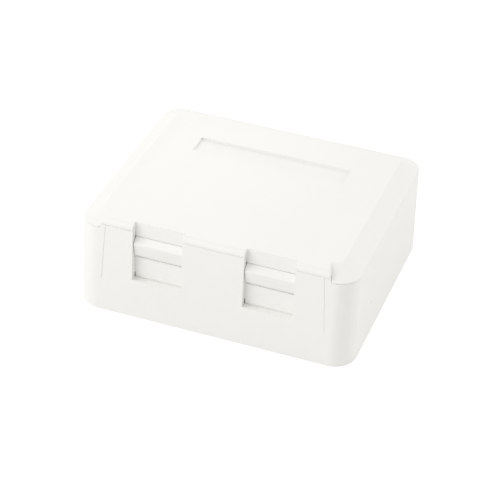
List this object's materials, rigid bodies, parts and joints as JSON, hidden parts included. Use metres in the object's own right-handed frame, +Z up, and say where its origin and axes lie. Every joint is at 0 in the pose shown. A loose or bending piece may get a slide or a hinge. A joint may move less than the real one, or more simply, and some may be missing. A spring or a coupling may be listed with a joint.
{
  "type": "surface mount jack box",
  "caption": "Low white surface box with a bevelled lid and shuttered modular jack ports in its front.",
  "frame": {"origin": "middle of the underside, on the surface that the box stands on", "axes": "+X along the front to the viewer's right, -Y out of the ports, +Z up to the lid"},
  "size_m": [0.068, 0.0584, 0.0254],
  "materials": {
    "white_plastic": "satin moulded ABS",
    "foam_pad": "closed-cell foam tape",
    "board": "solder-masked glass laminate",
    "screw_steel": "zinc-plated steel",
    "spring_steel": "drawn spring wire",
    "jack_plastic": "moulded natural-white polybutylene",
    "contact_gold": "gold-plated spring bronze",
    "block_plastic": "moulded pale polycarbonate",
    "clip_metal": "tinned phosphor bronze"
  },
  "bodies": {
    "base": {"base_tray": "white_plastic", "adhesive_pad": "foam_pad", "circuit_board": "board", "board_screws": "screw_steel", "spring_left": "spring_steel", "spring_right": "spring_steel", "jack_left": "jack_plastic", "jack_right": "jack_plastic", "contacts_left": "contact_gold", "contacts_right": "contact_gold", "wiring_block_front_left": "block_plastic", "block_clips_front_left": "clip_metal", "wiring_block_front_right": "block_plastic", "block_clips_front_right": "clip_metal", "wiring_block_back_left": "block_plastic", "block_clips_back_left": "clip_metal", "wiring_block_back_right": "block_plastic", "block_clips_back_right": "clip_metal"},
    "lid": {"lid": "white_plastic"},
    "shutter_left": {"shutter_left": "white_plastic"},
    "shutter_right": {"shutter_right": "white_plastic"}
  },
  "joints": [
    {"name": "lid_lift", "type": "slide", "parent": "base", "child": "lid", "axis": [0, 0, 1], "range_m": [0, 0.03]},
    {"name": "shutter_left_slide", "type": "slide", "parent": "base", "child": "shutter_left", "axis": [0, 0, -1], "range_m": [0, 0.0056], "stiffness_N_per_m": 120, "springref_m": -0.004, "deforming": ["spring_left"]},
    {"name": "shutter_right_slide", "type": "slide", "parent": "base", "child": "shutter_right", "axis": [0, 0, -1], "range_m": [0, 0.0056], "stiffness_N_per_m": 120, "springref_m": -0.004, "deforming": ["spring_right"]}
  ]
}
